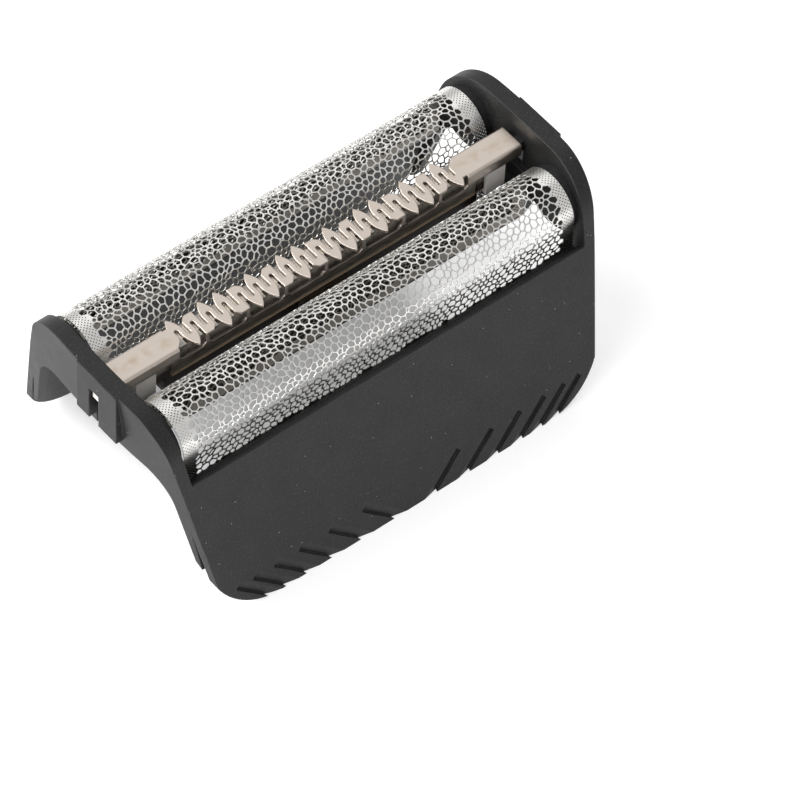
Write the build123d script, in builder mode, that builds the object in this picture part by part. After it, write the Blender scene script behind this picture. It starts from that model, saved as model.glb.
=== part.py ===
from build123d import *
import math
import os

os.makedirs("parts", exist_ok=True)

# A push-fit foil head for an electric shaver. A moulded frame holds two arched foils, and a long-hair
# trimmer floats on springs between them. Millimetres, +Z up, +X along the foils, front skirt at -Y.
# The origin is at the centre of the base, which is the plane of the skirts' lower edges.

# Frame: skirts
crown_height = 23.9
head_length = 52.4
skirt_height = 16.65
skirt_depth = 22.8
skirt_flare = 14.9
skirt_wall = 0.95
skirt_corner = 7.5
base_inset = 3.6
corner_lean = 8.5
rim_land = 0.35
rim_slope = 1.0

# Frame: end walls with their legs, panels, slots and inner ledges
end_draft = 6.0
end_bow_radius = 84.0
end_wall = 1.75
end_inner_draft = 4.5
end_inner_radius = 150.0
crown_lean = 16.5
crown_fillet = 6.0
crown_band = 7.7
arch_fillet = 4.0
leg_width = 0.75
leg_bottom = 5.5
leg_toe = 0.7
slit_width = 0.55
panel_width = 5.9
panel_shift = -0.9
panel_rise = 1.4
panel_proud = 0.15
panel_depth = 1.4
slot_width = 1.4
slot_shift = -0.5
ledge_rise = 2.5
ledge_width = 16.6

# Frame: finger grips along the lower edge of each skirt
grip_middle = 1.0
grip_inset = 1.6
grip_step = 1.93
grip_growth = 0.53
grip_height = 2.9
grip_run = 3.45
grip_depth = 0.34
grip_ramp = 1.0

# Frame: rails, foil seats and spring shelves
rail_wall = 0.9
rail_hold = 1.9
rail_height = 4.5
rail_bevel = 1.2
seat_drop = 2.65
seat_slope = 1.4
seat_margin = 1.5
shelf_wall = 0.8
shelf_length = 3.2
shelf_root = 0.3
post_gap = 0.22
post_height = 1.1

# Foils
trimmer_channel = 5.8
crest_drop = 1.4
foil_sheet = 0.15
foil_end_gap = 1.25
foil_ledge_gap = 0.35
foil_lap = 0.4
foil_band = 1.4
hole_columns = 12
hole_rows = 4
hole_radius = 1.35
hole_row_angle = 40.0

# Trimmer comb
trimmer_drop = 1.8
comb_end_gap = 0.8
comb_side_gap = 0.5
comb_sheet = 0.3
comb_bend = 0.3
fold_depth = 1.4
plain_length = 7.2
lip_length = 0.7
lip_bevel = 0.6
strip_depth = 3.25
strip_drop = 1.6
strip_overrun = 1.6
strip_end_drop = 1.0
finger_pitch = 1.845
finger_kinds = "PLPRP"
slot_gap = 0.42
slot_reach = 0.57
slot_bevel = 0.13
tip_overhang = 0.57
tip_half = 0.5
shoulder_inset = 1.05
blunt_bevel = 0.5
leg_breadth = 0.36
window_bevel = 0.4

# Trimmer blade, carrier and brackets
blade_gap = 0.06
blade_sheet = 0.35
blade_side_gap = 0.1
blade_end_gap = 0.3
blade_spine = 0.8
blade_tooth_gap = 0.75
carrier_gap = 0.06
carrier_side_gap = 0.15
keel_depth = 1.95
stroke = 0.7
end_gap = 0.2
stake_radius = 0.4
stake_inset = 0.7
stake_gap = 0.03
stake_drop = 0.1
yoke_length = 5.2
yoke_gap = 0.45
yoke_reach = 1.1
yoke_slot = 2.2
yoke_slot_height = 3.9
bracket_sheet = 0.35
bracket_setback = 3.95
bracket_length = 2.3
bracket_drop = 4.65
tongue_side_gap = 0.15
tongue_height = 1.3
tongue_gap = 0.05
tongue_inset = 0.2

# Springs under the brackets
spring_side_gap = 0.22
spring_wire = 0.26
spring_turns = 2.5

# Sizes that follow from those above
flare = math.tan(math.radians(skirt_flare))
reach = head_length
skirt_half = skirt_depth / 2
wall_y = skirt_wall / math.cos(math.radians(skirt_flare))
base_length = head_length - 2 * base_inset
grip_places = []
place = base_length / 2 - grip_inset
while place - grip_run > grip_middle:
    grip_places.append(place)
    place -= grip_step + (len(grip_places) - 1) * grip_growth
corner_spread = math.tan(math.radians(corner_lean)) * reach
crown_half = skirt_half - math.tan(math.radians(crown_lean)) * (crown_height - skirt_height)
arch_height = crown_height - crown_band
panel_bottom = arch_height + panel_rise
drum_height = 4 * crown_height
drum_x = head_length / 2 - end_bow_radius / math.cos(math.radians(end_draft))
inner_drum_x = head_length / 2 - end_wall - end_inner_radius / math.cos(math.radians(end_inner_draft))

rail_top = arch_height + rail_hold
rail_bottom = rail_top - rail_height
rail_length = head_length - 2 * end_wall
rail_y = trimmer_channel / 2
seat_y = skirt_half - seat_margin
seat_bottom = skirt_height - seat_drop
seat_foot = seat_bottom - seat_slope
shelf_top = rail_bottom + shelf_wall

foil_radius = (seat_y - rail_y) / 2
foil_y = (seat_y + rail_y) / 2
foil_crest = crown_height - crest_drop
foil_axis = foil_crest - foil_radius
foil_length = head_length - 2 * (end_wall + foil_end_gap)
foil_outer_edge = seat_bottom + foil_lap
foil_inner_edge = rail_bottom + foil_lap
ledge_x = foil_length / 2 + foil_ledge_gap

trimmer_top = crown_height - trimmer_drop
comb_underside = trimmer_top - comb_sheet
comb_length = head_length - 2 * (end_wall + comb_end_gap)
comb_width = trimmer_channel - 2 * (rail_wall + comb_side_gap)
meander_length = comb_length - 2 * plain_length
finger_count = int((meander_length - slot_gap) / finger_pitch + 0.5)
finger_width = finger_pitch - slot_gap
strip_length = meander_length + 2 * strip_overrun
strip_bottom = trimmer_top - strip_depth
tip_reach = comb_width / 2 + tip_overhang
shoulder = comb_width / 2 - shoulder_inset

bracket_width = comb_width - 2 * comb_sheet
bracket_start = comb_length / 2 - bracket_setback
bracket_end = bracket_start + bracket_length
bracket_bottom = trimmer_top - bracket_drop
tongue_top = comb_underside - tongue_gap
tongue_width = slot_width - 2 * tongue_side_gap
blade_top = comb_underside - blade_gap
blade_bottom = blade_top - blade_sheet
blade_width = bracket_width - 2 * blade_side_gap
blade_length = 2 * (bracket_start - stroke - blade_end_gap)
stake_pitch = blade_length - 2 * stake_inset
carrier_bottom = bracket_bottom + bracket_sheet + carrier_gap
carrier_width = bracket_width - 2 * (bracket_sheet + carrier_side_gap)
carrier_half = bracket_end - bracket_sheet - stroke - end_gap
yoke_bottom = rail_bottom - yoke_reach
spring_x = bracket_start + bracket_length / 2
spring_radius = bracket_width / 2 - spring_wire / 2 - spring_side_gap
keel_half = spring_x - shelf_length / 2 - stroke - end_gap
post_radius = spring_radius - spring_wire / 2 - post_gap


def skirt_y(z):
    """Half depth over the outer faces of the skirts at height z."""
    return skirt_half + flare * (skirt_height - z)


def slot_x(k):
    """Centre of slot k of the comb, counted from the left; even slots open to the front."""
    return (k - finger_count + 0.5) * finger_pitch / 2


# Skirts: one section run along X, cut to the rounded outline and to the bowed ends
with BuildPart() as skirts:
    with BuildSketch(Plane.YZ):
        with BuildLine():
            Polyline(
                (skirt_half, skirt_height),
                (skirt_half - rim_land, skirt_height),
                (skirt_y(skirt_height - rim_slope) - wall_y, skirt_height - rim_slope),
                (skirt_y(0) - wall_y, 0),
                (skirt_y(0), 0),
                close=True,
            )
        make_face()
        mirror(about=Plane.YZ)
    extrude(amount=reach, both=True)
    with BuildSketch(Plane.XZ) as skirt_outline:
        with BuildLine():
            Polyline(
                (-base_length / 2, 0),
                (base_length / 2, 0),
                (base_length / 2 + corner_spread, reach),
                (-base_length / 2 - corner_spread, reach),
                close=True,
            )
        make_face()
        fillet(skirt_outline.vertices().group_by(Axis.Y)[0], radius=skirt_corner)
    extrude(amount=reach, both=True, mode=Mode.INTERSECT)
    for side in (-1, 1):
        with Locations((side * drum_x, 0, crown_height)):
            Cylinder(end_bow_radius, drum_height, rotation=(0, side * end_draft, 0), mode=Mode.INTERSECT)
    # Grip flutes slant down towards the plain middle and lie wider apart the nearer they are to it. Each
    # drops in at its lower edge and ramps out again above.
    for front in (-1, 1):
        for side in (-1, 1):
            ramp = -side * front * grip_ramp
            for flute_x in grip_places:
                outward = Vector(0, front, flare).normalized()
                start = Vector(side * flute_x, front * skirt_y(grip_height), grip_height)
                along = Vector(-side * grip_run, front * flare * grip_height, -grip_height)
                with BuildSketch(Plane(start, x_dir=outward, z_dir=along)):
                    with BuildLine():
                        Polyline((-grip_depth, 0), (grip_depth, 0), (grip_depth, ramp), (0, ramp), close=True)
                    make_face()
                extrude(amount=2 * along.length, mode=Mode.SUBTRACT)

# Right end wall: the arched outline run along X and kept only between two drum faces
leg_y = skirt_y(leg_bottom) - wall_y - slit_width
leg_top = skirt_height - rim_slope
leg_top_y = skirt_y(leg_top) - wall_y / 2
with BuildPart() as end_walls:
    with BuildSketch(Plane.YZ) as end_outline:
        with BuildLine():
            Polyline(
                (-crown_half, crown_height),
                (crown_half, crown_height),
                (skirt_half, skirt_height),
                (leg_top_y, leg_top),
                (leg_y, leg_bottom),
                (-leg_y, leg_bottom),
                (-leg_top_y, leg_top),
                (-skirt_half, skirt_height),
                close=True,
            )
        make_face()
        fillet(end_outline.vertices().group_by(Axis.Y)[-1], radius=crown_fillet)
        with BuildSketch(mode=Mode.PRIVATE) as arch:
            with BuildLine():
                Polyline(
                    (-leg_y, leg_bottom),
                    (leg_y, leg_bottom),
                    (leg_y - leg_width, leg_bottom + leg_toe),
                    (leg_top_y - wall_y - leg_width, arch_height),
                    (-leg_top_y + wall_y + leg_width, arch_height),
                    (-leg_y + leg_width, leg_bottom + leg_toe),
                    close=True,
                )
            make_face()
            fillet(arch.vertices().group_by(Axis.Y)[-1], radius=arch_fillet)
        add(arch.sketch, mode=Mode.SUBTRACT)
    extrude(amount=reach)
    with Locations((drum_x, 0, crown_height)):
        Cylinder(end_bow_radius, drum_height, rotation=(0, end_draft, 0), mode=Mode.INTERSECT)
    with Locations((inner_drum_x, 0, crown_height)):
        Cylinder(end_inner_radius, drum_height, rotation=(0, end_inner_draft, 0), mode=Mode.SUBTRACT)
    # The raised middle panel stands upright while the wall behind it leans in
    with Locations((head_length / 2 + panel_proud, panel_shift, crown_height)):
        Box(
            panel_depth,
            panel_width,
            crown_height - panel_bottom,
            align=(Align.MAX, Align.CENTER, Align.MAX),
        )
    # The slot for the bracket's tongue is open at the bottom
    with Locations((head_length / 2, slot_shift, tongue_top + tongue_gap)):
        Box(
            4 * end_wall,
            slot_width,
            tongue_top + tongue_gap,
            align=(Align.CENTER, Align.CENTER, Align.MAX),
            mode=Mode.SUBTRACT,
        )
    # A ledge inside the wall ends just short of the foils and closes the lower part of the slot
    with Locations(((ledge_x + head_length / 2 - end_wall) / 2, 0, arch_height)):
        Box(
            head_length / 2 - end_wall - ledge_x,
            ledge_width,
            ledge_rise,
            align=(Align.CENTER, Align.CENTER, Align.MIN),
        )
    mirror(about=Plane.YZ)

# Frame: skirts and end walls with the rails, foil seats and spring shelves inside
with BuildPart() as frame:
    add(skirts.part)
    add(end_walls.part)
    with BuildSketch(Plane.YZ):
        with BuildLine():
            Polyline(
                (seat_y, leg_top),
                (seat_y, seat_bottom),
                (skirt_y(seat_foot) - wall_y / 2, seat_foot),
                (skirt_y(leg_top) - wall_y / 2, leg_top),
                close=True,
            )
        make_face()
        mirror(about=Plane.YZ)
    extrude(amount=foil_length / 2, both=True)
    for rail_face in (rail_y - rail_wall, -rail_y):
        with BuildSketch(Plane.XZ.offset(rail_face)) as rail_outline:
            with Locations((0, rail_top)):
                Rectangle(rail_length, rail_height, align=(Align.CENTER, Align.MAX))
            chamfer(rail_outline.vertices().group_by(Axis.Y)[0], length=rail_bevel)
        extrude(amount=rail_wall)
    for side in (-1, 1):
        with Locations((side * spring_x, 0, rail_bottom)):
            Box(
                shelf_length,
                2 * (rail_y - rail_wall + shelf_root),
                shelf_wall,
                align=(Align.CENTER, Align.CENTER, Align.MIN),
            )
        with Locations((side * spring_x, 0, shelf_top)):
            Cylinder(post_radius, post_height, align=(Align.CENTER, Align.CENTER, Align.MIN))
frame.part.label = "frame"
export_step(frame.part, "parts/frame.step")

# Foils: an arch with straight legs run along X, pierced in staggered rows square to the sheet
hole_pitch = (foil_length - 2 * foil_band) / hole_columns
for name, front in (("front_foil", -1), ("rear_foil", 1)):
    hole_planes = []
    for row in range(hole_rows):
        angle = math.radians((row - (hole_rows - 1) / 2) * hole_row_angle)
        outward = Vector(0, math.sin(angle), math.cos(angle))
        columns = hole_columns - row % 2
        for column in range(columns):
            centre = Vector((column - (columns - 1) / 2) * hole_pitch, front * foil_y, foil_axis)
            hole_planes.append(Plane(centre + outward * foil_radius, x_dir=(1, 0, 0), z_dir=outward))
    with BuildPart() as foil:
        with BuildSketch(Plane.YZ):
            with BuildLine():
                Polyline(
                    (front * rail_y, foil_axis),
                    (front * rail_y, foil_inner_edge),
                    (front * (rail_y + foil_sheet), foil_inner_edge),
                    (front * (rail_y + foil_sheet), foil_axis),
                )
                ThreePointArc(
                    (front * (rail_y + foil_sheet), foil_axis),
                    (front * foil_y, foil_crest - foil_sheet),
                    (front * (seat_y - foil_sheet), foil_axis),
                )
                Polyline(
                    (front * (seat_y - foil_sheet), foil_axis),
                    (front * (seat_y - foil_sheet), foil_outer_edge),
                    (front * seat_y, foil_outer_edge),
                    (front * seat_y, foil_axis),
                )
                ThreePointArc(
                    (front * seat_y, foil_axis),
                    (front * foil_y, foil_crest),
                    (front * rail_y, foil_axis),
                )
            make_face()
        extrude(amount=foil_length / 2, both=True)
        with BuildSketch(*hole_planes):
            RegularPolygon(hole_radius, 6)
        extrude(amount=3 * foil_sheet, both=True, mode=Mode.SUBTRACT)
    foil.part.label = name
    export_step(foil.part, f"parts/{name}.step")

# Fingers of the comb, drawn for its front edge: pointed ones end in a leaf-shaped tip, and blunt ones have
# a corner with a leg and a bevelled corner
with BuildSketch() as pointed_finger:
    with BuildLine():
        Polyline(
            (-finger_width / 2, -shoulder),
            (-finger_width / 2, 0),
            (finger_width / 2, 0),
            (finger_width / 2, -shoulder),
        )
        tip_middle = -(tip_reach + shoulder) / 2
        ThreePointArc((finger_width / 2, -shoulder), (tip_half, tip_middle), (0, -tip_reach))
        ThreePointArc((0, -tip_reach), (-tip_half, tip_middle), (-finger_width / 2, -shoulder))
    make_face()
with BuildSketch() as left_legged_finger:
    Rectangle(finger_width, comb_width / 2, align=(Align.CENTER, Align.MAX))
    chamfer(left_legged_finger.vertices().group_by(Axis.Y)[0].sort_by(Axis.X)[-1], length=blunt_bevel)
with BuildSketch() as right_legged_finger:
    mirror(left_legged_finger.sketch, about=Plane.YZ)
with BuildSketch() as slot:
    with Locations((0, slot_reach)):
        Rectangle(slot_gap, slot_reach + tip_reach, align=(Align.CENTER, Align.MAX))
    chamfer(slot.vertices().group_by(Axis.Y)[-1], length=slot_bevel)
finger_shapes = {"P": pointed_finger, "L": left_legged_finger, "R": right_legged_finger}
leg_x = []
with BuildSketch() as front_fingers:
    for i in range(finger_count):
        kind = finger_kinds[i % len(finger_kinds)]
        with Locations((slot_x(2 * i + 1), 0)):
            add(finger_shapes[kind].sketch)
        if kind != "P":
            toward = -1 if kind == "L" else 1
            leg_x.append(slot_x(2 * i + 1) + toward * (finger_width - leg_breadth) / 2)

# Strip along the front of the comb: it hangs from the legs of the blunt fingers and from the plain ends
window_edges = [-meander_length / 2 - lip_length]
for x in leg_x:
    window_edges += [x - leg_breadth / 2, x + leg_breadth / 2]
window_edges.append(meander_length / 2 + lip_length)
with BuildPart() as front_strip:
    with BuildSketch(Plane.XZ.offset(comb_width / 2)) as strip_outline:
        with Locations((0, strip_bottom)):
            Rectangle(
                meander_length + 2 * lip_length,
                strip_depth,
                align=(Align.CENTER, Align.MIN),
            )
            Rectangle(
                strip_length,
                strip_depth - strip_end_drop,
                align=(Align.CENTER, Align.MIN),
            )
        for start, end in zip(window_edges[::2], window_edges[1::2]):
            with Locations(((start + end) / 2, trimmer_top)):
                Rectangle(end - start, strip_drop, align=(Align.CENTER, Align.MAX), mode=Mode.SUBTRACT)
        chamfer(strip_outline.vertices().group_by(Axis.Y)[1], length=window_bevel)
    extrude(amount=-comb_sheet)

# Comb: folded plain ends, the slotted meander between them, and a strip along each side
with BuildPart() as trimmer_comb:
    with BuildSketch(Plane.YZ.offset(meander_length / 2 + lip_length)) as channel:
        with Locations((0, trimmer_top)):
            Rectangle(comb_width, fold_depth, align=(Align.CENTER, Align.MAX))
        fillet(channel.vertices().group_by(Axis.Y)[-1], radius=comb_bend)
        with Locations((0, comb_underside)):
            Rectangle(bracket_width, fold_depth, align=(Align.CENTER, Align.MAX), mode=Mode.SUBTRACT)
    extrude(amount=plain_length - lip_length)
    mirror(about=Plane.YZ)
    with BuildSketch(Plane.XY.offset(comb_underside)) as sheet:
        with GridLocations(meander_length + lip_length, 0, 2, 1):
            Rectangle(lip_length, bracket_width)
        chamfer(
            [
                sheet.vertices().sort_by(Axis.X)[2:4].sort_by(Axis.Y)[0],
                sheet.vertices().sort_by(Axis.X)[4:6].sort_by(Axis.Y)[-1],
            ],
            length=lip_bevel,
        )
        Rectangle(meander_length, 2 * shoulder)
        add(front_fingers.sketch)
        add(front_fingers.sketch, rotation=180)
        for k in range(2 * finger_count):
            with Locations((slot_x(k), 0)):
                add(slot.sketch, rotation=180 * (k % 2), mode=Mode.SUBTRACT)
    extrude(amount=comb_sheet)
    add(front_strip.part)
    add(front_strip.part, rotation=(0, 0, 180))
trimmer_comb.part.label = "trimmer_comb"
export_step(trimmer_comb.part, "parts/trimmer_comb.step")

# Blade: a flat strip toothed along both edges
with BuildPart() as trimmer_blade:
    with BuildSketch(Plane.XY.offset(blade_bottom)):
        Rectangle(blade_length, blade_width)
        for front in (-1, 1):
            with Locations((0, front * (blade_width + blade_spine) / 4)):
                with GridLocations(finger_pitch, 0, finger_count, 1):
                    Rectangle(blade_tooth_gap, (blade_width - blade_spine) / 2, mode=Mode.SUBTRACT)
        with GridLocations(stake_pitch, 0, 2, 1):
            Circle(stake_radius + stake_gap, mode=Mode.SUBTRACT)
    extrude(amount=blade_sheet)
trimmer_blade.part.label = "trimmer_blade"
export_step(trimmer_blade.part, "parts/trimmer_blade.step")

# Carrier: a plastic bar that the blade is staked to, with a keel and a fork below for the drive pin
with BuildPart() as blade_carrier:
    with Locations((0, 0, carrier_bottom)):
        Box(
            2 * carrier_half,
            carrier_width,
            blade_bottom - carrier_bottom,
            align=(Align.CENTER, Align.CENTER, Align.MIN),
        )
        Box(
            2 * keel_half,
            carrier_width,
            keel_depth,
            align=(Align.CENTER, Align.CENTER, Align.MAX),
        )
    with Locations((0, 0, yoke_bottom)):
        Box(
            yoke_length,
            comb_width,
            strip_bottom - yoke_gap - yoke_bottom,
            align=(Align.CENTER, Align.CENTER, Align.MIN),
        )
        Box(
            yoke_slot,
            2 * comb_width,
            yoke_slot_height,
            align=(Align.CENTER, Align.CENTER, Align.MIN),
            mode=Mode.SUBTRACT,
        )
    with Locations((0, 0, blade_bottom)):
        with GridLocations(stake_pitch, 0, 2, 1):
            Cylinder(
                stake_radius,
                blade_sheet - stake_drop,
                align=(Align.CENTER, Align.CENTER, Align.MIN),
            )
blade_carrier.part.label = "blade_carrier"
export_step(blade_carrier.part, "parts/blade_carrier.step")

# Brackets: folded stirrups that hang inside the comb's plain ends, each with a tongue for the wall's slot
for name, side in (("left_bracket", -1), ("right_bracket", 1)):
    with BuildPart() as bracket:
        with BuildSketch(Plane.YZ.offset(bracket_start)):
            with Locations((0, bracket_bottom)):
                Rectangle(
                    bracket_width,
                    comb_underside - bracket_bottom,
                    align=(Align.CENTER, Align.MIN),
                )
            with Locations((0, bracket_bottom + bracket_sheet)):
                Rectangle(
                    bracket_width - 2 * bracket_sheet,
                    comb_underside - bracket_bottom,
                    align=(Align.CENTER, Align.MIN),
                    mode=Mode.SUBTRACT,
                )
        extrude(amount=bracket_length)
        with Locations((bracket_end, 0, bracket_bottom)):
            Box(
                bracket_sheet,
                bracket_width,
                comb_underside - bracket_bottom,
                align=(Align.MAX, Align.CENTER, Align.MIN),
            )
        with Locations((bracket_end, slot_shift, tongue_top)):
            Box(
                head_length / 2 - tongue_inset - bracket_end,
                tongue_width,
                tongue_height,
                align=(Align.MIN, Align.CENTER, Align.MAX),
            )
        if side < 0:
            mirror(about=Plane.YZ, mode=Mode.REPLACE)
    bracket.part.label = name
    export_step(bracket.part, f"parts/{name}.step")

# Springs: coils that stand on the shelves around the posts and carry the brackets
spring_height = bracket_bottom - shelf_top - spring_wire
for name, side in (("left_spring", -1), ("right_spring", 1)):
    with BuildPart() as spring:
        with BuildLine() as coil:
            Helix(
                spring_height / spring_turns,
                spring_height,
                spring_radius,
                center=(side * spring_x, 0, shelf_top + spring_wire / 2),
            )
        with BuildSketch(Plane(coil.line @ 0, z_dir=coil.line % 0)):
            RegularPolygon(spring_wire / 2, 4)
        sweep(is_frenet=True)
    spring.part.label = name
    export_step(spring.part, f"parts/{name}.step")
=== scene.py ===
import math
import bpy
from mathutils import Matrix, Vector


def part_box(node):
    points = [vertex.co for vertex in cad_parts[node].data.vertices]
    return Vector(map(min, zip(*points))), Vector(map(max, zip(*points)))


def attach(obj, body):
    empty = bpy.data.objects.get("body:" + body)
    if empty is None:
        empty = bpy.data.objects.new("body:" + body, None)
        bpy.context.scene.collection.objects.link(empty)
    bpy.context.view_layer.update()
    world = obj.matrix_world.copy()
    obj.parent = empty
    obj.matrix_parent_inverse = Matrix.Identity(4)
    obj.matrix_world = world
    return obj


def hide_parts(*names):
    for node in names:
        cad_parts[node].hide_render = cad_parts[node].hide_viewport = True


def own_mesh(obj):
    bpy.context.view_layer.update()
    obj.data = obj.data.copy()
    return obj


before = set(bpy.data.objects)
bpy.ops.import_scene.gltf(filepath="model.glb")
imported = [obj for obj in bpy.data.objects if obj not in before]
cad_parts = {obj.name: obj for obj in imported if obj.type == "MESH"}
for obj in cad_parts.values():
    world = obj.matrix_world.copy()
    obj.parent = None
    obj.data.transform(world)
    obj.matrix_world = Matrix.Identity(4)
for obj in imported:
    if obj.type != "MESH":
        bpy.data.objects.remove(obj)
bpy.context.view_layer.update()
scene = bpy.context.scene
mm = 0.001
mixA, mixB, mixed = 6, 7, 2  # a colour mix's sockets: two colours in, one out
print("frame loaded:", sorted(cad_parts))


def srgb(code):  # hex colour as linear red, green, blue, alpha
    channels = [int(code[i:i + 2], 16) / 255 for i in (1, 3, 5)]
    return tuple(c / 12.92 if c <= 0.04045 else ((c + 0.055) / 1.055) ** 2.4 for c in channels) + (1.0,)


def addNode(tree, kind, inputs=None, **settings):  # nodes, sockets and lists of them are linked, other values set
    node = tree.nodes.new(kind)
    for name, value in settings.items():
        setattr(node, name, value)
    for key, given in (inputs or {}).items():
        for value in given if isinstance(given, list) else [given]:
            if isinstance(value, bpy.types.Node):
                value = value.outputs[0]
            if isinstance(value, bpy.types.NodeSocket):
                tree.links.new(value, node.inputs[key])
            else:
                node.inputs[key].default_value = value
    return node


def newMaterial(name):  # with its tree and the place on the piece that every pattern follows
    material = bpy.data.materials.new(name)
    material.use_nodes = True
    tree = material.node_tree
    tree.nodes.clear()
    return material, tree, addNode(tree, "ShaderNodeTexCoord").outputs["Object"]


def addObject(name, mesh):
    piece = bpy.data.objects.new(name, mesh)
    scene.collection.objects.link(piece)
    return piece


# Camera: a long lens from the front left, high up, with the head left of the middle
cameraSet = {
    "azimuth": -40.21,
    "elevation": 49.71,
    "roll": 1.97,
    "distance": 563 * mm,
    "target": (0, 0, 22.1 * mm),
    "targetPixel": (316.21, 252.17),
    "imageSize": 800,
    "focalPixels": 6069,
    "sensor": 36,
    "clip": (0.01, 50),
}


def makeCamera(s):
    a, e, r = (math.radians(s[k]) for k in ("azimuth", "elevation", "roll"))
    back = Vector((math.sin(a) * math.cos(e), -math.cos(a) * math.cos(e), math.sin(e)))
    level = Vector((math.cos(a), math.sin(a), 0))
    rise = back.cross(level)
    right = level * math.cos(r) + rise * math.sin(r)
    up = rise * math.cos(r) - level * math.sin(r)
    # turned so that the target falls on its own pixel
    half = s["imageSize"] / 2
    across, down = s["targetPixel"]
    sight = Vector((across - half, half - down, -s["focalPixels"])).normalized()
    turn = Vector((0, 0, -1)).rotation_difference(sight).to_matrix()
    axes = Matrix((right, up, back)).transposed() @ turn.transposed()
    data = bpy.data.cameras.new("camera")
    data.sensor_width = s["sensor"]
    data.lens = s["focalPixels"] / s["imageSize"] * s["sensor"]
    data.clip_start, data.clip_end = s["clip"]
    camera = addObject("camera", data)
    camera.matrix_world = Matrix.Translation(Vector(s["target"]) + back * s["distance"]) @ axes.to_4x4()
    scene.camera = camera


makeCamera(cameraSet)
print("camera set")

# Studio: a table whose glow is painted light, fainter under the head and stronger around it so the head's cast
# shadow is washed out, a pale dome, and large soft boxes at the left and behind it
studio = {
    "table": "#cccccc",
    "tableRoughness": 0.9,
    "tableHalf": 3.0,
    "glow": "#ffffff",
    "paintedLightOutsideHead": 0.5,
    "paintedLightUnderHead": 0.15,
    "mask": (19 * mm, 13.5 * mm, 1.0),
    "maskEdge": 0.75,  # share of the mask where it starts to fade
    "dome": "#ffffff",
    "domeStrength": 0.66,
    "boxSide": 0.6,
    "boxes": {
        "leftBox": {"at": (-0.75, -0.1, 0.5), "watts": 5.3},
        "backLeftBox": {"at": (-0.5, 0.6, 0.6), "watts": 9.6},
        "backRightBox": {"at": (0.4, 0.45, 0.75), "watts": 0.55},
    },
    "aim": (0, 0, 15 * mm),
}


def makeStudio(s):
    h = s["tableHalf"]
    mesh = bpy.data.meshes.new("table")
    mesh.from_pydata([(-h, -h, 0), (h, -h, 0), (h, h, 0), (-h, h, 0)], [], [(0, 1, 2, 3)])
    table = addObject("table", mesh)
    material, tree, place = newMaterial("whiteTableWithPaintedLight")
    place = addNode(tree, "ShaderNodeVectorMath", {0: place}, operation="ABSOLUTE")
    place = addNode(tree, "ShaderNodeVectorMath", {0: place, 1: s["mask"]}, operation="DIVIDE")
    place = addNode(tree, "ShaderNodeSeparateXYZ", {0: place})
    out = addNode(tree, "ShaderNodeMath", {0: place.outputs[0], 1: place.outputs[1]}, operation="MAXIMUM")
    # painted light: the table glows less inside the head's footprint and more outside it, which washes out the
    # head's shadow on the table
    glow = addNode(tree, "ShaderNodeMapRange", {
        "Value": out, "From Min": s["maskEdge"], "From Max": 1.0,
        "To Min": s["paintedLightUnderHead"], "To Max": s["paintedLightOutsideHead"]})
    shader = addNode(tree, "ShaderNodeBsdfPrincipled", {
        "Base Color": srgb(s["table"]), "Roughness": s["tableRoughness"],
        "Emission Color": srgb(s["glow"]), "Emission Strength": glow})
    addNode(tree, "ShaderNodeOutputMaterial", {"Surface": shader})
    mesh.materials.append(material)
    world = bpy.data.worlds.new("dome")
    world.use_nodes = True
    world.node_tree.nodes.clear()
    light = addNode(world.node_tree, "ShaderNodeBackground", {
        "Color": srgb(s["dome"]), "Strength": s["domeStrength"]})
    addNode(world.node_tree, "ShaderNodeOutputWorld", {"Surface": light})
    scene.world = world
    for name, box in s["boxes"].items():
        data = bpy.data.lights.new(name, "AREA")
        data.size = s["boxSide"]
        data.energy = box["watts"]
        lamp = addObject(name, data)
        turn = (Vector(s["aim"]) - Vector(box["at"])).to_track_quat("-Z", "Y").to_matrix()
        lamp.matrix_world = Matrix.Translation(box["at"]) @ turn.to_4x4()
    scene.view_settings.view_transform = "Standard"


makeStudio(studio)
print("studio lit")

# Materials: every noise, speck and band is set as a real length
cloudRange = (0.3, 0.7)  # where most of a noise's values lie
edgeSamples = 6


def cloudyRoughness(tree, place, s):  # soft clouds, and the roughness that follows them
    cloud = addNode(tree, "ShaderNodeTexNoise", {"Vector": place, "Scale": 1 / s["cloud"], "Detail": 3.0})
    dull = addNode(tree, "ShaderNodeMapRange", {
        "Value": cloud, "From Min": cloudRange[0], "From Max": cloudRange[1],
        "To Min": s["roughness"][0], "To Max": s["roughness"][1]})
    return cloud, dull


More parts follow.
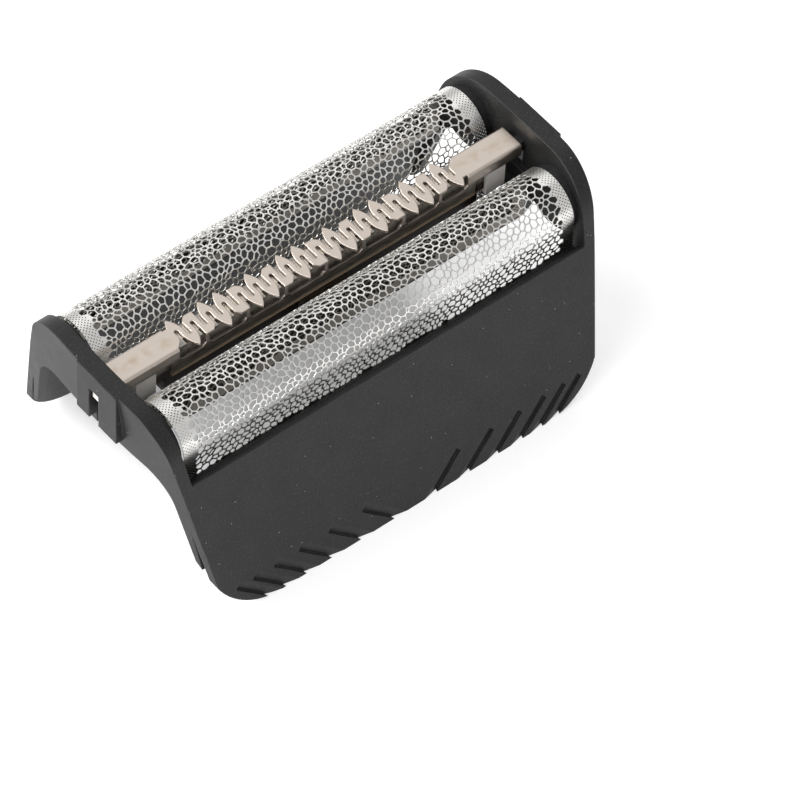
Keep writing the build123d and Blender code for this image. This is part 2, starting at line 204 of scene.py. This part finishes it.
def blackPlastic(name, s):
    material, tree, place = newMaterial(name)
    grain = addNode(tree, "ShaderNodeTexNoise", {"Vector": place, "Scale": 1 / s["grain"], "Detail": 2.0})
    cloud, dull = cloudyRoughness(tree, place, s)
    # edges are rounded for the light only, and rubbed paler in places
    soft = addNode(tree, "ShaderNodeBevel", {"Radius": s["edge"]}, samples=edgeSamples)
    flat = addNode(tree, "ShaderNodeNewGeometry").outputs["Normal"]
    turn = addNode(tree, "ShaderNodeVectorMath", {0: soft, 1: flat}, operation="DOT_PRODUCT").outputs["Value"]
    rub = addNode(tree, "ShaderNodeMapRange", {
        "Value": turn, "From Min": s["rubTurn"][0], "From Max": s["rubTurn"][1]})
    patch = addNode(tree, "ShaderNodeMapRange", {
        "Value": cloud, "From Min": s["rubPatch"][0], "From Max": s["rubPatch"][1]})
    rub = addNode(tree, "ShaderNodeMath", {0: rub, 1: patch}, operation="MULTIPLY")
    rub = addNode(tree, "ShaderNodeMath", {0: rub, 1: s["rub"]}, operation="MULTIPLY")
    # specks of dust, and paler flecks on the tops of the grain
    dustAndPaintedLight = addNode(tree, "ShaderNodeTexVoronoi", {"Vector": place, "Scale": 1 / s["dustStep"]})
    reach = s["dustRadius"] / s["dustStep"]
    speck = addNode(tree, "ShaderNodeMath", {0: dustAndPaintedLight, 1: reach}, operation="LESS_THAN")
    fleck = addNode(tree, "ShaderNodeMapRange", {
        "Value": grain, "From Min": s["fleckTop"][0], "From Max": s["fleckTop"][1], "To Max": s["fleck"]})
    pale = addNode(tree, "ShaderNodeMath", {0: rub, 1: speck}, operation="MAXIMUM")
    pale = addNode(tree, "ShaderNodeMath", {0: pale, 1: fleck}, operation="MAXIMUM")
    colour = addNode(tree, "ShaderNodeMix", {
        0: pale, mixA: srgb(s["colour"]), mixB: srgb(s["dustAndPaintedLight"])}, data_type="RGBA")
    bump = addNode(tree, "ShaderNodeBump", {
        "Height": grain, "Strength": s["bump"], "Distance": s["grainDepth"], "Normal": soft})
    shader = addNode(tree, "ShaderNodeBsdfPrincipled", {
        "Base Color": colour.outputs[mixed], "Roughness": dull, "IOR": s["ior"], "Normal": bump})
    addNode(tree, "ShaderNodeOutputMaterial", {"Surface": shader})
    return material


def greasyPlasticWithPaintedLight(name, s):
    material, tree, place = newMaterial(name)
    cloud, dull = cloudyRoughness(tree, place, s)
    # painted light: above the band the pale colour stands in for light on a part in shade; towards the bottom the
    # colour turns darker brown, and cloud patches give it dark brown spots
    spot = addNode(tree, "ShaderNodeSeparateXYZ", {0: place})
    low = addNode(tree, "ShaderNodeMapRange", {
        "Value": spot.outputs[2], "From Min": s["band"][0], "From Max": s["band"][1]})
    patch = addNode(tree, "ShaderNodeMapRange", {
        "Value": cloud, "From Min": s["patch"][0], "From Max": s["patch"][1]})
    greaseAndPaintedShade = addNode(tree, "ShaderNodeMath", {0: low, 1: patch}, operation="MAXIMUM")
    colour = addNode(tree, "ShaderNodeMix", {
        0: greaseAndPaintedShade, mixA: srgb(s["dustAndPaintedLight"]), mixB: srgb(s["greaseAndPaintedShade"])}, data_type="RGBA")
    shader = addNode(tree, "ShaderNodeBsdfPrincipled", {"Base Color": colour.outputs[mixed], "Roughness": dull})
    addNode(tree, "ShaderNodeOutputMaterial", {"Surface": shader})
    return material


def plainMetal(name, s):
    material, tree, place = newMaterial(name)
    cloud, dull = cloudyRoughness(tree, place, s)
    shader = addNode(tree, "ShaderNodeBsdfPrincipled", {
        "Base Color": srgb(s["colour"]), "Roughness": dull, "Metallic": s["metallic"]})
    addNode(tree, "ShaderNodeOutputMaterial", {"Surface": shader})
    return material


def paintedShadeMetal(name, s):
    material, tree, place = newMaterial(name)
    cloud, dull = cloudyRoughness(tree, place, s)
    spot = addNode(tree, "ShaderNodeSeparateXYZ", {0: place})
    # painted shade: the nickel is darkened towards the bottom, for the dark reflections of the low webs
    low = addNode(tree, "ShaderNodeMapRange", {
        "Value": spot.outputs[2], "From Min": s["band"][0], "From Max": s["band"][1],
        "To Max": s["paintedShadeDepth"]})
    colour = addNode(tree, "ShaderNodeMix", {
        0: low, mixA: srgb(s["colour"]), mixB: srgb(s["paintedShadeColour"])}, data_type="RGBA")
    shader = addNode(tree, "ShaderNodeBsdfPrincipled", {
        "Base Color": colour.outputs[mixed], "Roughness": dull, "Metallic": s["metallic"]})
    addNode(tree, "ShaderNodeOutputMaterial", {"Surface": shader})
    return material


def paintedShadeSteel(name, s):
    material, tree, place = newMaterial(name)
    cloud, dull = cloudyRoughness(tree, place, s)
    # painted shade: the tongues are darkened across a band near the end walls
    spot = addNode(tree, "ShaderNodeSeparateXYZ", {0: place})
    along = addNode(tree, "ShaderNodeMath", {0: spot.outputs[0]}, operation="ABSOLUTE")
    greaseAndPaintedShade = addNode(tree, "ShaderNodeMath", {
        0: along, 1: s["paintedShadeMiddle"], 2: s["paintedShadeHalf"]}, operation="COMPARE")
    colour = addNode(tree, "ShaderNodeMix", {
        0: greaseAndPaintedShade, mixA: srgb(s["colour"]), mixB: srgb(s["greaseAndPaintedShade"])}, data_type="RGBA")
    shader = addNode(tree, "ShaderNodeBsdfPrincipled", {
        "Base Color": colour.outputs[mixed], "Roughness": dull, "Metallic": s["metallic"]})
    addNode(tree, "ShaderNodeOutputMaterial", {"Surface": shader})
    return material


def stainedSteelWithPaintedLight(name, s):
    material, tree, place = newMaterial(name)
    spot = addNode(tree, "ShaderNodeSeparateXYZ", {0: place})
    drawn = addNode(tree, "ShaderNodeVectorMath", {0: place, 1: s["drawn"]}, operation="MULTIPLY")
    streak = addNode(tree, "ShaderNodeTexNoise", {"Vector": drawn, "Scale": 1 / s["streak"], "Detail": 3.0})
    cloud = addNode(tree, "ShaderNodeTexNoise", {"Vector": place, "Scale": 1 / s["cloud"], "Detail": 2.0})
    # a brown smear along the middle of the plain ends
    along = addNode(tree, "ShaderNodeMath", {0: spot.outputs[0]}, operation="ABSOLUTE")
    ends = addNode(tree, "ShaderNodeMapRange", {
        "Value": along, "From Min": s["plain"][0], "From Max": s["plain"][1]})
    across = addNode(tree, "ShaderNodeMath", {0: spot.outputs[1]}, operation="ABSOLUTE")
    middle = addNode(tree, "ShaderNodeMapRange", {"Value": across, "From Min": s["smear"], "From Max": 0.0})
    smear = addNode(tree, "ShaderNodeMapRange", {
        "Value": cloud, "From Min": s["smearPatch"][0], "From Max": s["smearPatch"][1],
        "To Max": s["smearDepth"]})
    smear = addNode(tree, "ShaderNodeMath", {0: smear, 1: ends}, operation="MULTIPLY")
    smear = addNode(tree, "ShaderNodeMath", {0: smear, 1: middle}, operation="MULTIPLY")
    colour = addNode(tree, "ShaderNodeMix", {
        0: smear, mixA: srgb(s["colour"]), mixB: srgb(s["brown"])}, data_type="RGBA")
    # the strips below are darkened as painted shade, in uneven streaks, and a tan, less metallic band along their
    # lower edge is a painted highlight
    low = addNode(tree, "ShaderNodeMapRange", {
        "Value": spot.outputs[2], "From Min": s["paintedStripShadeHeights"][0], "From Max": s["paintedStripShadeHeights"][1]})
    paintedStripShadeMask = addNode(tree, "ShaderNodeMapRange", {
        "Value": streak, "From Min": s["paintedStripShadeStreak"][0], "From Max": s["paintedStripShadeStreak"][1],
        "To Min": 1.0, "To Max": s["paintedStripShadeThin"]})
    paintedStripShadeMask = addNode(tree, "ShaderNodeMath", {0: low, 1: paintedStripShadeMask}, operation="MULTIPLY")
    colour = addNode(tree, "ShaderNodeMix", {
        0: paintedStripShadeMask, mixA: colour.outputs[mixed], mixB: srgb(s["paintedStripShade"])}, data_type="RGBA")
    # painted highlight: a tan band, less metallic, along the strips' lower edge
    edge = addNode(tree, "ShaderNodeMapRange", {
        "Value": spot.outputs[2], "From Min": s["paintedHighlightHeights"][0], "From Max": s["paintedHighlightHeights"][1],
        "To Max": s["paintedHighlightDepth"]})
    colour = addNode(tree, "ShaderNodeMix", {
        0: edge, mixA: colour.outputs[mixed], mixB: srgb(s["brown"])}, data_type="RGBA")
    bare = addNode(tree, "ShaderNodeMath", {0: 1.0, 1: edge}, operation="SUBTRACT")
    dull = addNode(tree, "ShaderNodeMapRange", {
        "Value": low, "To Min": s["roughness"][0], "To Max": s["roughness"][1]})
    soft = addNode(tree, "ShaderNodeBevel", {"Radius": s["edge"]}, samples=edgeSamples)
    shader = addNode(tree, "ShaderNodeBsdfPrincipled", {
        "Base Color": colour.outputs[mixed], "Roughness": dull, "Metallic": bare, "Normal": soft})
    addNode(tree, "ShaderNodeOutputMaterial", {"Surface": shader})
    return material


# A spark-eroded mould leaves the frame dull and finely grained; pale dust and rubbed edges show on it
framePlastic = blackPlastic("erodedBlackAbs", {
    "colour": "#111111", "ior": 1.42, "roughness": (0.48, 0.54), "cloud": 3 * mm,
    "grain": 0.16 * mm, "grainDepth": 0.048 * mm, "bump": 0.5, "fleck": 0.06, "fleckTop": (0.52, 0.75),
    "edge": 0.2 * mm, "rub": 0.25, "rubTurn": (0.98, 0.8), "rubPatch": (0.42, 0.7),
    "dustAndPaintedLight": "#8f8e8b", "dustStep": 1.25 * mm, "dustRadius": 0.05 * mm})
# Smooth black moulding, painted pale grey higher up as painted light on a part in shade, darker brown towards the
# bottom, with dark brown patches of grease
carrierPlastic = greasyPlasticWithPaintedLight("blackAcetalWithPaintedLight", {
    "dustAndPaintedLight": "#8f877c", "roughness": (0.3, 0.5), "cloud": 0.8 * mm,
    "greaseAndPaintedShade": "#2b241d", "band": (19.3 * mm, 18.8 * mm), "patch": (0.5, 0.75)})
# Electroforming leaves a bright, slightly hazy skin; the nickel is darkened towards the bottom as painted shade,
# for the dark reflections in the low webs
foilNickel = paintedShadeMetal("electroformedNickel", {
    "colour": "#e8e7e4", "roughness": (0.27, 0.35), "metallic": 1.0, "cloud": 2 * mm,
    "paintedShadeColour": "#3f3d3a", "band": (20.4 * mm, 18.6 * mm), "paintedShadeDepth": 0.85})
# Old grease and dust half hide the metal inside the foils, so it shows dull and tanned through the holes
dulledNickel = plainMetal("greasedNickel", {
    "colour": "#8f8981", "roughness": (0.35, 0.55), "metallic": 0.35, "cloud": 2 * mm})
# Satin steel with a warm champagne cast; the folded strips are darkened as painted shade, in uneven streaks, and
# carry a painted highlight as a tan band along their lower edge
combSteel = stainedSteelWithPaintedLight("satinChampagneSteel", {
    "colour": "#c9beb4", "roughness": (0.33, 0.42), "edge": 0.14 * mm, "cloud": 1.3 * mm,
    "brown": "#a58d6c", "plain": (16.4 * mm, 17.2 * mm),
    "smear": 0.9 * mm, "smearDepth": 0.5, "smearPatch": (0.42, 0.68),
    "streak": 0.3 * mm, "drawn": (0.15, 1.0, 1.0),  # streaks are drawn out along the comb
    "paintedStripShade": "#6b645b", "paintedStripShadeHeights": (21.0 * mm, 20.6 * mm), "paintedStripShadeThin": 0.5, "paintedStripShadeStreak": (0.3, 0.65),
    "paintedHighlightHeights": (19.5 * mm, 18.9 * mm), "paintedHighlightDepth": 0.8})
# Ground flat and oily, so it stays dull between the fingers
bladeSteel = plainMetal("groundBladeSteel", {
    "colour": "#8f8c87", "roughness": (0.3, 0.45), "metallic": 1.0, "cloud": 1 * mm})
# Zinc-grey and matt, it keeps its grey whatever it faces; the tongues are blackened up to their tips as painted
# shade near the end walls
bracketSteel = paintedShadeSteel("mattZincSteel", {
    "colour": "#d8d4d0", "roughness": (0.5, 0.65), "metallic": 0.1, "cloud": 1 * mm,
    "greaseAndPaintedShade": "#151413", "paintedShadeMiddle": 24.0 * mm, "paintedShadeHalf": 1.3 * mm})
# Drawn wire with a thin bright line along each turn
springSteel = plainMetal("drawnSpringWire", {
    "colour": "#b9b7b3", "roughness": (0.2, 0.3), "metallic": 1.0, "cloud": 1 * mm})

finishes = {
    "frame": framePlastic, "blade_carrier": carrierPlastic,
    "front_foil": foilNickel, "rear_foil": foilNickel,
    "trimmer_comb": combSteel, "trimmer_blade": bladeSteel,
    "left_bracket": bracketSteel, "right_bracket": bracketSteel,
    "left_spring": springSteel, "right_spring": springSteel,
}
for node, material in finishes.items():
    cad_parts[node].data.materials.clear()
    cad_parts[node].data.materials.append(material)
print("finishes on")


# Geometry Nodes pieces become plain meshes here
def treeMesh(tree, values, name):
    holder = addObject(name, bpy.data.meshes.new(name))
    modifier = holder.modifiers.new(tree.name, "NODES")
    modifier.node_group = tree
    for item in tree.interface.items_tree:
        if item.in_out == "INPUT":
            modifier[item.identifier] = values[item.name]
    evaluated = holder.evaluated_get(bpy.context.evaluated_depsgraph_get())
    mesh = bpy.data.meshes.new_from_object(evaluated)
    bpy.data.objects.remove(holder)
    mesh.name = name
    return mesh


def newTree(name, values):  # with a named input for each value
    kinds = {float: "NodeSocketFloat", int: "NodeSocketInt", tuple: "NodeSocketVector",
             bpy.types.Material: "NodeSocketMaterial"}
    tree = bpy.data.node_groups.new(name, "GeometryNodeTree")
    for key, value in values.items():
        tree.interface.new_socket(key, in_out="INPUT", socket_type=kinds[type(value)])
    tree.interface.new_socket("Geometry", in_out="OUTPUT", socket_type="NodeSocketGeometry")
    return tree, addNode(tree, "NodeGroupInput").outputs


def placePiece(name, mesh, body, node):
    piece = addObject(name, mesh)
    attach(piece, body)
    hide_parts(node)
    return piece


# Foils: thin nickel pierced with uneven cells and, along both ends, a fine grid of dots
foilSet = {
    "length": 46.4 * mm,
    "radius": 3.5 * mm,
    "axisDepth": 6.4 * mm,
    "axisHeight": 19.0 * mm,
    "outerLeg": 4.6 * mm,
    "innerLeg": 5.0 * mm,
    "sheet": 0.09 * mm,
    "band": 1.5 * mm,  # plain and dotted strip at each end
    "bandShift": 0.05 * mm,  # of the dots, towards the end
    "edge": 1.0 * mm,  # unpierced strip along each clamped edge
    "cell": 0.73 * mm,
    "cellSpread": 1.2,  # cells that both ends together reach into the bands
    "jitter": 0.37 * mm,
    "web": 0.12 * mm,
    "corner": 0.06 * mm,
    "dotStep": 0.2 * mm,
    "dotRadius": 0.075 * mm,
    "dotGap": 0.03 * mm,  # least web between a dot and a cell
    "dotSides": 6,
    "dotsLeftOut": 2,  # at the clamped edges
    "outlineCuts": 110,
    "rimAngle": 40,  # sharper edges than this many degrees stay sharp
    "merge": 0.0002 * mm,
    "seeds": {"frontFoil": 4, "rearFoil": 11},
}


def foilValues(s, seed):
    quarter = s["radius"] * math.pi / 2
    width = 2 * quarter + s["outerLeg"] + s["innerLeg"]
    middle = (s["outerLeg"] - s["innerLeg"]) / 2
    cellLength = s["length"] - 2 * s["band"] + s["cellSpread"] * s["cell"]
    cellWidth = width - 2 * s["edge"]
    rowStep = s["cell"] * math.sqrt(0.75)  # height of a triangle with equal sides
    dotRows = int(s["band"] / s["dotStep"])
    dotColumns = int(width / (2 * s["dotStep"])) - s["dotsLeftOut"]
    bandX = (s["length"] - s["band"]) / 2 + s["bandShift"]
    return {
        "Length": s["length"], "Width": width, "Quarter": quarter, "Radius": s["radius"],
        "Axis Depth": s["axisDepth"], "Axis Height": s["axisHeight"],
        "Shift": (0.0, middle, 0.0), "Sheet": (0.0, 0.0, -s["sheet"]), "Outline Cuts": s["outlineCuts"],
        "Cell Length": cellLength, "Cell Width": cellWidth,
        "Columns": round(cellLength / s["cell"]) + 1, "Rows": round(cellWidth / rowStep) + 1,
        "Cell": s["cell"], "Jitter": (s["jitter"], s["jitter"], 0.0), "Seed": seed,
        "Web": s["web"], "Corner": s["corner"],
        "Dot Span": (dotRows - 1) * s["dotStep"], "Dot Run": (dotColumns - 1) * 2 * s["dotStep"],
        "Dot Rows": dotRows, "Dot Columns": dotColumns, "Dot Step": s["dotStep"],
        "Dot Radius": s["dotRadius"], "Dot Sides": s["dotSides"], "Dot Room": s["dotRadius"] + s["dotGap"],
        "Left Band": (-bandX, middle, 0.0), "Right Band": (bandX, middle, 0.0),
        "Merge": s["merge"], "Rim Angle": math.radians(s["rimAngle"]),
        "Nickel": foilNickel, "Dulled": dulledNickel,
    }


def makeFoilTree(values):
    tree, given = newTree("foilMesh", values)
    # flat outline of the sheet: x along the foil, y along the arch from its crest, outer leg at +y
    outline = addNode(tree, "GeometryNodeCurvePrimitiveQuadrilateral", {
        "Width": given["Length"], "Height": given["Width"]})
    outline = addNode(tree, "GeometryNodeTransform", {"Geometry": outline, "Translation": given["Shift"]})
    outline = addNode(tree, "GeometryNodeSubdivideCurve", {"Curve": outline, "Cuts": given["Outline Cuts"]})
    # a lattice with each second row half a cell along, then jittered; cut in triangles, its dual is uneven cells
    lattice = addNode(tree, "GeometryNodeMeshGrid", {
        "Size X": given["Cell Length"], "Size Y": given["Cell Width"],
        "Vertices X": given["Columns"], "Vertices Y": given["Rows"]})
    index = addNode(tree, "GeometryNodeInputIndex")
    row = addNode(tree, "ShaderNodeMath", {0: index, 1: given["Rows"]}, operation="MODULO")
    odd = addNode(tree, "ShaderNodeMath", {0: row, 1: 2.0}, operation="MODULO")
    odd = addNode(tree, "ShaderNodeMath", {0: odd, 1: 0.5, 2: -0.25}, operation="MULTIPLY_ADD")
    odd = addNode(tree, "ShaderNodeMath", {0: odd, 1: given["Cell"]}, operation="MULTIPLY")
    stagger = addNode(tree, "ShaderNodeCombineXYZ", {0: odd})
    low = addNode(tree, "ShaderNodeVectorMath", {0: given["Jitter"], "Scale": -1.0}, operation="SCALE")
    shake = addNode(tree, "FunctionNodeRandomValue", {
        0: low, 1: given["Jitter"], "Seed": given["Seed"]}, data_type="FLOAT_VECTOR")
    shift = addNode(tree, "ShaderNodeVectorMath", {0: stagger, 1: shake}, operation="ADD")
    lattice = addNode(tree, "GeometryNodeSetPosition", {"Geometry": lattice, "Offset": shift})
    lattice = addNode(tree, "GeometryNodeTransform", {"Geometry": lattice, "Translation": given["Shift"]})
    lattice = addNode(tree, "GeometryNodeTriangulate", {"Mesh": lattice})
    cells = addNode(tree, "GeometryNodeDualMesh", {"Mesh": lattice})
    cells = addNode(tree, "GeometryNodeSplitEdges", {"Mesh": cells})
    # each cell shrinks by about half a web all round, as a circle of its area would, then its corners are cut
    area = addNode(tree, "GeometryNodeInputMeshFaceArea")
    inverse = addNode(tree, "ShaderNodeMath", {0: area, 1: -0.5}, operation="POWER")
    halfWeb = addNode(tree, "ShaderNodeMath", {
        0: given["Web"], 1: -math.sqrt(math.pi) / 2}, operation="MULTIPLY")
    shrink = addNode(tree, "ShaderNodeMath", {0: inverse, 1: halfWeb, 2: 1.0}, operation="MULTIPLY_ADD")
    holes = addNode(tree, "GeometryNodeScaleElements", {"Geometry": cells, "Scale": shrink})
    cells = addNode(tree, "GeometryNodeMeshToCurve", {"Mesh": holes})
    cells = addNode(tree, "GeometryNodeFilletCurve", {
        "Curve": cells, "Count": 1, "Radius": given["Corner"], "Limit Radius": True}, mode="POLY")
    # dots stand on a grid turned by 45 degrees, and none crosses a cell, which would leave loose slivers
    dots = addNode(tree, "GeometryNodeMeshGrid", {
        "Size X": given["Dot Span"], "Size Y": given["Dot Run"],
        "Vertices X": given["Dot Rows"], "Vertices Y": given["Dot Columns"]})
    line = addNode(tree, "ShaderNodeMath", {0: index, 1: given["Dot Columns"]}, operation="DIVIDE")
    line = addNode(tree, "ShaderNodeMath", {0: line}, operation="FLOOR")
    odd = addNode(tree, "ShaderNodeMath", {0: line, 1: 2.0}, operation="MODULO")
    odd = addNode(tree, "ShaderNodeMath", {0: odd, 1: 0.5}, operation="SUBTRACT")
    odd = addNode(tree, "ShaderNodeMath", {0: odd, 1: given["Dot Step"]}, operation="MULTIPLY")
    stagger = addNode(tree, "ShaderNodeCombineXYZ", {1: odd})
    dots = addNode(tree, "GeometryNodeSetPosition", {"Geometry": dots, "Offset": stagger})
    left = addNode(tree, "GeometryNodeTransform", {"Geometry": dots, "Translation": given["Left Band"]})
    right = addNode(tree, "GeometryNodeTransform", {"Geometry": dots, "Translation": given["Right Band"]})
    dots = addNode(tree, "GeometryNodeJoinGeometry", {0: [left, right]})
    room = addNode(tree, "GeometryNodeProximity", {0: holes}, target_element="FACES").outputs["Distance"]
    near = addNode(tree, "FunctionNodeCompare", {0: room, 1: given["Dot Room"]}, operation="LESS_THAN")
    dots = addNode(tree, "GeometryNodeDeleteGeometry", {"Geometry": dots, "Selection": near}, domain="POINT")
    ring = addNode(tree, "GeometryNodeCurvePrimitiveCircle", {
        "Resolution": given["Dot Sides"], "Radius": given["Dot Radius"]})
    dots = addNode(tree, "GeometryNodeInstanceOnPoints", {"Points": dots, "Instance": ring})
    dots = addNode(tree, "GeometryNodeRealizeInstances", {"Geometry": dots})
    # one filled sheet with all the holes, given its thickness
    lines = addNode(tree, "GeometryNodeJoinGeometry", {0: [outline, cells, dots]})
    face = addNode(tree, "GeometryNodeFillCurve", {"Curve": lines})
    wall = addNode(tree, "GeometryNodeExtrudeMesh", {
        "Mesh": face, "Offset": given["Sheet"], "Offset Scale": 1.0, "Individual": False})
    turned = addNode(tree, "GeometryNodeFlipFaces", {"Mesh": wall})
    sheet = addNode(tree, "GeometryNodeJoinGeometry", {0: [face, turned]})
    sheet = addNode(tree, "GeometryNodeMergeByDistance", {"Geometry": sheet, "Distance": given["Merge"]})
    # bent over the arch: angle from the crest, and a straight drop past the quarter turns
    spot = addNode(tree, "ShaderNodeSeparateXYZ", {0: addNode(tree, "GeometryNodeInputPosition")})
    angle = addNode(tree, "ShaderNodeMath", {0: spot.outputs[1], 1: given["Radius"]}, operation="DIVIDE")
    angle = addNode(tree, "ShaderNodeClamp", {"Value": angle, "Min": -math.pi / 2, "Max": math.pi / 2})
    far = addNode(tree, "ShaderNodeMath", {0: spot.outputs[1]}, operation="ABSOLUTE")
    far = addNode(tree, "ShaderNodeMath", {0: far, 1: given["Quarter"]}, operation="SUBTRACT")
    far = addNode(tree, "ShaderNodeMath", {0: far, 1: 0.0}, operation="MAXIMUM")
    arm = addNode(tree, "ShaderNodeMath", {0: given["Radius"], 1: spot.outputs[2]}, operation="ADD")
    side = addNode(tree, "ShaderNodeMath", {0: angle}, operation="SINE")
    side = addNode(tree, "ShaderNodeMath", {0: side, 1: arm, 2: given["Axis Depth"]}, operation="MULTIPLY_ADD")
    rise = addNode(tree, "ShaderNodeMath", {0: angle}, operation="COSINE")
    rise = addNode(tree, "ShaderNodeMath", {0: rise, 1: arm, 2: given["Axis Height"]}, operation="MULTIPLY_ADD")
    rise = addNode(tree, "ShaderNodeMath", {0: rise, 1: far}, operation="SUBTRACT")
    bent = addNode(tree, "ShaderNodeCombineXYZ", {0: spot.outputs[0], 1: side, 2: rise})
    sheet = addNode(tree, "GeometryNodeSetPosition", {"Geometry": sheet, "Position": bent})
    # smooth over the arch, sharp round every hole
    sheet = addNode(tree, "GeometryNodeSetShadeSmooth", {"Geometry": sheet})
    bend = addNode(tree, "GeometryNodeInputMeshEdgeAngle")
    rim = addNode(tree, "FunctionNodeCompare", {0: bend, 1: given["Rim Angle"]}, operation="GREATER_THAN")
    sheet = addNode(tree, "GeometryNodeSetShadeSmooth", {
        "Geometry": sheet, "Selection": rim, "Shade Smooth": False}, domain="EDGE")
    # bright outside, dulled inside
    sheet = addNode(tree, "GeometryNodeRealizeInstances", {"Geometry": sheet})
    sheet = addNode(tree, "GeometryNodeSetMaterial", {"Geometry": sheet, "Material": given["Nickel"]})
    sheet = addNode(tree, "GeometryNodeSetMaterial", {
        "Geometry": sheet, "Selection": wall.outputs["Top"], "Material": given["Dulled"]})
    addNode(tree, "NodeGroupOutput", {0: sheet})
    return tree


foilTree = makeFoilTree(foilValues(foilSet, 0))
for name, node in (("frontFoil", "front_foil"), ("rearFoil", "rear_foil")):
    foilMesh = treeMesh(foilTree, foilValues(foilSet, foilSet["seeds"][name]), name)
    if name == "frontFoil":
        foilMesh.transform(Matrix.Rotation(math.pi, 4, "Z"))
    placePiece(name, foilMesh, "head", node)
    print(name, len(foilMesh.polygons), "faces")

# End fillings: black discs behind the foils' ends and plates beyond the brackets, where the photo shows no light
fillSet = {
    "inner": 23.3 * mm,
    "outer": 24.6 * mm,
    "clearance": 0.15 * mm,  # under the foil
    "sides": 48,
    "plate": (2.35 * mm, 4.8 * mm, 0.6 * mm),
    "plateHeight": 16.55 * mm,
}


def fillValues(s, foil):
    plateX = s["outer"] - s["plate"][0] / 2
    return {
        "Radius": foil["radius"] - foil["sheet"] - s["clearance"], "Depth": s["outer"] - s["inner"],
        "Sides": s["sides"], "Spread X": s["inner"] + s["outer"], "Spread Y": 2 * foil["axisDepth"],
        "Middle": (0.0, 0.0, foil["axisHeight"]), "Plate": s["plate"],
        "Left Plate": (-plateX, 0.0, s["plateHeight"]), "Right Plate": (plateX, 0.0, s["plateHeight"]),
        "Plastic": framePlastic,
    }


def makeFillTree(values):
    tree, given = newTree("endFillings", values)
    spots = addNode(tree, "GeometryNodeMeshGrid", {
        "Size X": given["Spread X"], "Size Y": given["Spread Y"], "Vertices X": 2, "Vertices Y": 2})
    spots = addNode(tree, "GeometryNodeTransform", {"Geometry": spots, "Translation": given["Middle"]})
    disc = addNode(tree, "GeometryNodeMeshCylinder", {
        "Vertices": given["Sides"], "Radius": given["Radius"], "Depth": given["Depth"]})
    discs = addNode(tree, "GeometryNodeInstanceOnPoints", {
        "Points": spots, "Instance": disc, "Rotation": (0.0, math.pi / 2, 0.0)})
    plate = addNode(tree, "GeometryNodeMeshCube", {"Size": given["Plate"]})
    left = addNode(tree, "GeometryNodeTransform", {"Geometry": plate, "Translation": given["Left Plate"]})
    right = addNode(tree, "GeometryNodeTransform", {"Geometry": plate, "Translation": given["Right Plate"]})
    fill = addNode(tree, "GeometryNodeJoinGeometry", {0: [discs, left, right]})
    fill = addNode(tree, "GeometryNodeRealizeInstances", {"Geometry": fill})
    fill = addNode(tree, "GeometryNodeSetMaterial", {"Geometry": fill, "Material": given["Plastic"]})
    addNode(tree, "NodeGroupOutput", {0: fill})
    return tree


values = fillValues(fillSet, foilSet)
fillings = addObject("endFillings", treeMesh(makeFillTree(values), values, "endFillings"))
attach(fillings, "head")
print("endFillings", len(fillings.data.polygons), "faces")

# Springs: round wire wound inside the boxes of the CAD springs
springSet = {
    "turns": 3.5,
    "wire": 0.13 * mm,  # radius
    "steps": 28,  # along each turn
    "sides": 10,
    "travel": 1.5 * mm,
}


def springValues(s, low, high):
    return {
        "Turns": s["turns"], "Wire": s["wire"], "Steps": s["steps"], "Sides": s["sides"],
        "Radius": (high.x - low.x) / 2 - s["wire"], "Height": high.z - low.z - 2 * s["wire"],
        "Foot": ((low.x + high.x) / 2, (low.y + high.y) / 2, low.z + s["wire"]), "Steel": springSteel,
    }


def makeSpringTree(values):
    tree, given = newTree("coilSpring", values)
    coil = addNode(tree, "GeometryNodeCurveSpiral", {
        "Resolution": given["Steps"], "Rotations": given["Turns"], "Height": given["Height"],
        "Start Radius": given["Radius"], "End Radius": given["Radius"]})
    ring = addNode(tree, "GeometryNodeCurvePrimitiveCircle", {
        "Resolution": given["Sides"], "Radius": given["Wire"]})
    wire = addNode(tree, "GeometryNodeCurveToMesh", {"Curve": coil, "Profile Curve": ring, "Fill Caps": True})
    wire = addNode(tree, "GeometryNodeTransform", {"Geometry": wire, "Translation": given["Foot"]})
    wire = addNode(tree, "GeometryNodeSetShadeSmooth", {"Geometry": wire})
    wire = addNode(tree, "GeometryNodeRealizeInstances", {"Geometry": wire})
    wire = addNode(tree, "GeometryNodeSetMaterial", {"Geometry": wire, "Material": given["Steel"]})
    addNode(tree, "NodeGroupOutput", {0: wire})
    return tree


springTree = None
for name, node in (("leftSpring", "left_spring"), ("rightSpring", "right_spring")):
    low, high = (Vector(corner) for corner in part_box(node))
    values = springValues(springSet, low, high)
    springTree = springTree or makeSpringTree(values)
    spring = placePiece(name, treeMesh(springTree, values, name), "head", node)
    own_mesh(spring)
    print(name, len(spring.data.polygons), "faces")
